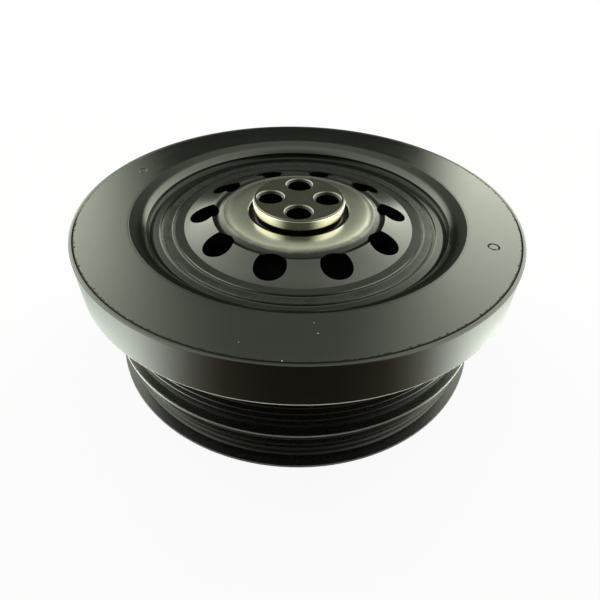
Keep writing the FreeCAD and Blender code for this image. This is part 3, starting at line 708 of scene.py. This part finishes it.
def hub_finish():
    """The hub: coat on web and rim, bare steel on seat and spigot, rust in the relief."""
    finish = Finish("hub_coat_and_bare_steel", COAT_ROUGHNESS, COAT_IOR)
    tree = finish.tree
    distance, height = finish.distance, finish.height
    both, between, without = finish.both, finish.between, finish.without
    fine = use_group(tree, TURNING, finish.place, Pitch=0.22 * MM, Drift=2.5 * MM)
    grit = use_group(tree, GRIT, finish.place, Grain=0.5 * MM, Patch=7 * MM, Cover=0.5)
    film = use_group(tree, GRIT, finish.place, Grain=1.5 * MM, Patch=11 * MM, Cover=0.42)

    above_seat = ramp_between(tree, height, SEAT_Z - 1.2 * MM, SEAT_Z - 0.2 * MM)
    edge = math_node(tree, "MULTIPLY_ADD", film.outputs["Grit"], 1.0 * MM, distance)
    seat = both(ramp_between(tree, distance, RELIEF_RADIUS - 0.02 * MM, RELIEF_RADIUS + 0.1 * MM),
                without(ramp_between(tree, edge, BARE_SEAT_RADIUS, COATED_SEAT_RADIUS)))
    seat = both(seat, above_seat)
    around_spigot = between(distance, SPIGOT_RADIUS - 0.18 * MM, RELIEF_RADIUS)
    high = ramp_between(tree, height, SEAT_Z - 0.1 * MM, SEAT_Z + 0.3 * MM)
    spigot_side = both(around_spigot, high)
    relief = both(both(around_spigot, without(high)),
                  ramp_between(tree, height, SEAT_Z - 3 * MM, SEAT_Z - 2.9 * MM))

    parts = tree.nodes.new("ShaderNodeSeparateXYZ")
    tree.links.new(finish.place, parts.inputs[0])
    folded = [math_node(tree, "ABSOLUTE", parts.outputs[i]) for i in (0, 1)]
    mouths = []
    for along, across in (folded, folded[::-1]):
        offset = math_node(tree, "SUBTRACT", along, BOLT_CIRCLE_RADIUS)
        square = math_node(tree, "MULTIPLY", offset, offset)
        square = math_node(tree, "MULTIPLY_ADD", across, across, square)
        mouths.append(math_node(tree, "SQRT", square))
    nearest = math_node(tree, "MINIMUM", *mouths)
    near_top = ramp_between(tree, height, spigot_top_z - 1.2 * MM, spigot_top_z - 1.0 * MM)
    bore_radius = BOLT_MOUTH_RADIUS - BOLT_MOUTH_WIDTH
    mouth = both(between(nearest, bore_radius, BOLT_MOUTH_RADIUS), near_top)
    bore = both(without(ramp_between(tree, nearest, bore_radius - EDGE_SOFT, bore_radius + EDGE_SOFT)),
                near_top)
    top = both(without(ramp_between(tree, distance, SPIGOT_RADIUS - 0.25 * MM,
                                    SPIGOT_RADIUS - 0.10 * MM)), near_top)
    rim_light = both(ramp_between(tree, height, spigot_top_z - 0.25 * MM, spigot_top_z - 0.15 * MM),
                     between(distance, SPIGOT_RADIUS - 0.85 * MM, SPIGOT_RADIUS - 0.45 * MM))

    coat_tone = mix_colours(tree, fine.outputs["Bands"], COAT_COLOUR, COAT_THIN_COLOUR)
    bare = mix_colours(tree, fine.outputs["Bands"], BARE_STEEL_COLOUR, BARE_STEEL_LIGHT_COLOUR)
    side_low = without(ramp_between(tree, height, SEAT_Z + 1.2 * MM, SEAT_Z + 4.5 * MM))
    bare = mix_colours(tree, spigot_side, bare,
                       mix_colours(tree, math_node(tree, "MULTIPLY", side_low, SPIGOT_FILM_SHARE),
                                   SPIGOT_STEEL_COLOUR, SPIGOT_FILM_COLOUR))
    rust = mix_colours(tree, grit.outputs["Grit"], RUST_COLOUR, RUST_LIGHT_COLOUR)
    dark = mix_colours(tree, fine.outputs["Bands"], DARK_STEEL_COLOUR, DARK_STEEL_LIGHT_COLOUR)
    dark = mix_colours(tree, film.outputs["Grit"], dark, DARK_STEEL_STAIN_COLOUR)
    tone = mix_colours(tree, top, coat_tone, dark)
    bare_share = math_node(tree, "ADD", seat, spigot_side, clamp=True)
    tone = mix_colours(tree, bare_share, tone, bare)
    tone = mix_colours(tree, math_node(tree, "MAXIMUM", mouth, rim_light), tone, BOLT_MOUTH_COLOUR)
    tone = mix_colours(tree, bore, tone, COAT_COLOUR)
    tone = mix_colours(tree, relief, tone, rust)
    finish.set("Base Color", tone)

    metal = math_node(tree, "MAXIMUM", bare_share, math_node(tree, "MULTIPLY", top, 0.7))
    metal = math_node(tree, "MAXIMUM", metal, math_node(tree, "MAXIMUM", mouth, rim_light))
    finish.set("Metallic", both(both(metal, without(relief)), without(bore)))
    # Painted shade: lower sheen in the scoop and in the bolt bores
    scoop = both(between(distance, SEAT_RADIUS - 1.0 * MM, SCOOP_RADIUS, 0.1 * MM), without(seat))
    painted_shade_sheen = mix_numbers(tree, math_node(tree, "MAXIMUM", scoop, bore), FULL_SHEEN, SCOOP_PAINTED_SHADE_SHEEN)
    finish.set("Specular IOR Level", mix_numbers(tree, relief, painted_shade_sheen, RUST_SHEEN))
    dull = mix_numbers(tree, bare_share, COAT_ROUGHNESS, SEAT_ROUGHNESS)
    dull = mix_numbers(tree, spigot_side, dull, SPIGOT_ROUGHNESS)
    dull = math_node(tree, "MULTIPLY_ADD", top, 0.10, dull)
    dull = math_node(tree, "MULTIPLY_ADD", relief, 0.4, dull)
    dull = math_node(tree, "MULTIPLY_ADD", fine.outputs["Bands"], 0.06, dull)
    finish.set("Roughness", dull)
    finish.lean(both(seat, curve_through(tree, distance, SEAT_LEAN)))
    finish.turned_grain(math_node(tree, "MULTIPLY", seat, SEAT_GRAIN_SHARE))
    finish.bump(both(fine.outputs["Rings"], mix_numbers(tree, bare_share, 0.0012, 0.0014)), MM)
    return finish.material


def steel_finish(name, colour, roughness):
    """Bare turned metal, lighter from band to band."""
    finish = Finish(name, roughness, 1.5, 1.0)
    marks = use_group(finish.tree, TURNING, finish.place, Pitch=0.4 * MM, Drift=4 * MM)
    lighter = tuple(1.25 * c for c in colour)
    finish.set("Base Color", mix_colours(finish.tree, marks.outputs["Bands"], colour, lighter))
    finish.set("Roughness", math_node(finish.tree, "MULTIPLY_ADD", marks.outputs["Bands"], 0.15,
                                      roughness - 0.07))
    finish.bump(marks.outputs["Rings"], 0.004 * MM)
    return finish.material


def soft_finish(name, colour, lighter, roughness, grain):
    """Rubber or polymer: dull, with a fine grain."""
    finish = Finish(name, roughness, 1.5)
    grit = use_group(finish.tree, GRIT, finish.place, Grain=grain, Patch=12 * MM, Cover=0.4)
    finish.set("Base Color", mix_colours(finish.tree, grit.outputs["Grit"], colour, lighter))
    finish.set("Roughness", math_node(finish.tree, "MULTIPLY_ADD", grit.outputs["Grit"], 0.15,
                                      roughness - 0.05))
    finish.bump(grit.outputs["Grit"], 0.02 * MM)
    return finish.material


def dress_nodes():
    """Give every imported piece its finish."""
    plug_coat = coat("coat_on_plug")
    cover_coat = coat("coat_on_cover", lean=MOUTH_LEAN, dirt=seam_dirt)
    housing_coat = coat("coat_on_housing", lean=SHELF_LEAN, highlight_and_wear=housing_painted_highlight,
                        painted_shade_sheen=RECESS_PAINTED_SHADE)
    ring_coat = coat("coat_on_locating_ring", roughness=RING_ROUGHNESS, grit_depth=0.02, cover=0.45,
                     lean=RING_LEAN, painted_shade_sheen=RING_PAINTED_SHADE)
    pulley_coat = coat("coat_on_pulley", roughness=PULLEY_ROUGHNESS, highlight_and_wear=flange_highlights_and_wear)
    polymer = soft_finish("bearing_polymer", (0.42, 0.37, 0.27), (0.50, 0.45, 0.34), 0.55, 0.3 * MM)
    rubber = soft_finish("moulded_rubber", (0.016, 0.016, 0.016), (0.03, 0.03, 0.03), 0.7, 0.3 * MM)
    sleeve = steel_finish("phosphated_sleeve", (0.16, 0.16, 0.155), 0.5)
    iron = steel_finish("turned_iron", (0.20, 0.20, 0.20), 0.45)
    chosen = {
        "hub": hub_finish(),
        "damper_housing": housing_coat,
        "damper_cover": cover_coat,
        "fill_plug_right": plug_coat,
        "fill_plug_left": plug_coat,
        "locating_ring": ring_coat,
        "belt_pulley": pulley_coat,
        "inertia_ring": iron,
        "inner_sleeve": sleeve,
        "outer_sleeve": sleeve,
        "decoupling_rubber": rubber,
        "cover_seal_outer": rubber,
        "cover_seal_inner": rubber,
        "lower_guide_ring": polymer,
        "upper_guide_ring": polymer,
        "inner_guide_bush": polymer,
        "slide_bearing_bush": polymer,
        "thrust_ring": polymer,
    }
    for name, node in nodes.items():
        node.data.materials.clear()
        node.data.materials.append(chosen[name])


# Loose grains on the damper's face: burrs in the seam and light dust

BURR_COUNT = 120
BURR_SIZE = 0.20 * MM
DUST_SIZE = 0.22 * MM
GRAIN_SEED = 5
DUST_PLACES = ((-168.6, 86.22), (175.2, 80.46), (175.8, 75.73), (-144.8, 91.97), (-177.6, 91.84))


def grain_tree():
    """Small uneven grains, one on each point of a mesh."""
    tree = bpy.data.node_groups.new("grains_on_points", "GeometryNodeTree")
    tree.interface.new_socket("Points", in_out="INPUT", socket_type="NodeSocketGeometry")
    for label, kind in (("Size", "NodeSocketFloat"), ("Seed", "NodeSocketInt"),
                        ("Material", "NodeSocketMaterial")):
        tree.interface.new_socket(label, in_out="INPUT", socket_type=kind)
    tree.interface.new_socket("Grains", in_out="OUTPUT", socket_type="NodeSocketGeometry")
    enter = tree.nodes.new("NodeGroupInput")
    leave = tree.nodes.new("NodeGroupOutput")
    grain = tree.nodes.new("GeometryNodeMeshIcoSphere")
    grain.inputs["Subdivisions"].default_value = 1
    tree.links.new(enter.outputs["Size"], grain.inputs["Radius"])
    stretch = tree.nodes.new("FunctionNodeRandomValue")
    stretch.data_type = "FLOAT_VECTOR"
    stretch.inputs[0].default_value = (0.5, 0.5, 0.3)
    stretch.inputs[1].default_value = (1.3, 1.3, 0.6)
    tree.links.new(enter.outputs["Seed"], stretch.inputs["Seed"])
    spread = tree.nodes.new("GeometryNodeInstanceOnPoints")
    tree.links.new(enter.outputs["Points"], spread.inputs["Points"])
    tree.links.new(grain.outputs["Mesh"], spread.inputs["Instance"])
    tree.links.new(stretch.outputs[0], spread.inputs["Scale"])
    solid = tree.nodes.new("GeometryNodeRealizeInstances")
    tree.links.new(spread.outputs["Instances"], solid.inputs["Geometry"])
    paint = tree.nodes.new("GeometryNodeSetMaterial")
    tree.links.new(solid.outputs["Geometry"], paint.inputs["Geometry"])
    tree.links.new(enter.outputs["Material"], paint.inputs["Material"])
    tree.links.new(paint.outputs["Geometry"], leave.inputs["Grains"])
    return tree


def make_grains(name, tree, places, size, finish):
    """One piece of grains at the given (azimuth in degrees, radius) places of the face."""
    corners = []
    for azimuth, radius in places:
        turn = math.radians(azimuth)
        corners.append((radius * math.sin(turn), radius * math.cos(turn), face_z))
    start = bpy.data.meshes.new(name + "_points")
    start.from_pydata(corners, [], [])
    maker = bpy.data.objects.new(name + "_maker", start)
    bpy.context.scene.collection.objects.link(maker)
    modifier = maker.modifiers.new("grains", "NODES")
    modifier.node_group = tree
    sockets = {item.name: item.identifier for item in tree.interface.items_tree
               if item.in_out == "INPUT"}
    modifier[sockets["Size"]] = size
    modifier[sockets["Seed"]] = GRAIN_SEED
    modifier[sockets["Material"]] = finish
    bpy.context.view_layer.update()
    ready = maker.evaluated_get(bpy.context.evaluated_depsgraph_get())
    mesh = bpy.data.meshes.new_from_object(ready)
    bpy.data.objects.remove(maker)
    piece = bpy.data.objects.new(name, mesh)
    bpy.context.scene.collection.objects.link(piece)
    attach(piece, "crank_side")


def make_seam_burrs_and_dust():
    """Dark burrs along the cover's side of the seam, and a few light specks of dust."""
    tree = grain_tree()
    chance = random.Random(GRAIN_SEED)
    burrs = [(chance.uniform(0, 360), cover_radius - chance.uniform(0.1, 0.8) * MM)
             for _ in range(BURR_COUNT)]
    burr_finish = soft_finish("dark_burr", (0.004, 0.004, 0.003), (0.02, 0.018, 0.014), 0.7, 0.3 * MM)
    dust_finish = soft_finish("light_dust", (0.55, 0.55, 0.50), (0.75, 0.75, 0.70), 0.8, 0.3 * MM)
    make_grains("seam_burrs", tree, burrs, BURR_SIZE, burr_finish)
    dust = [(azimuth, radius * MM) for azimuth, radius in DUST_PLACES]
    make_grains("face_dust", tree, dust, DUST_SIZE, dust_finish)


make_camera()
make_world()
make_floor()
make_softbox("left_softbox", polar(-48, 25, LAMP_DISTANCE), *SIDE_LAMP_SIZE, SIDE_GLOW)
make_softbox("right_softbox", polar(42, 25, LAMP_DISTANCE), *SIDE_LAMP_SIZE, SIDE_GLOW)
make_softbox("overhead_softbox", polar(0, 78, LAMP_DISTANCE), *OVERHEAD_LAMP_SIZE, OVERHEAD_GLOW)
make_tent()
make_floor_ring(pulley_radius + 0.5 * MM)
dress_nodes()
make_seam_burrs_and_dust()

view = bpy.context.scene.view_settings
view.view_transform = "Standard"
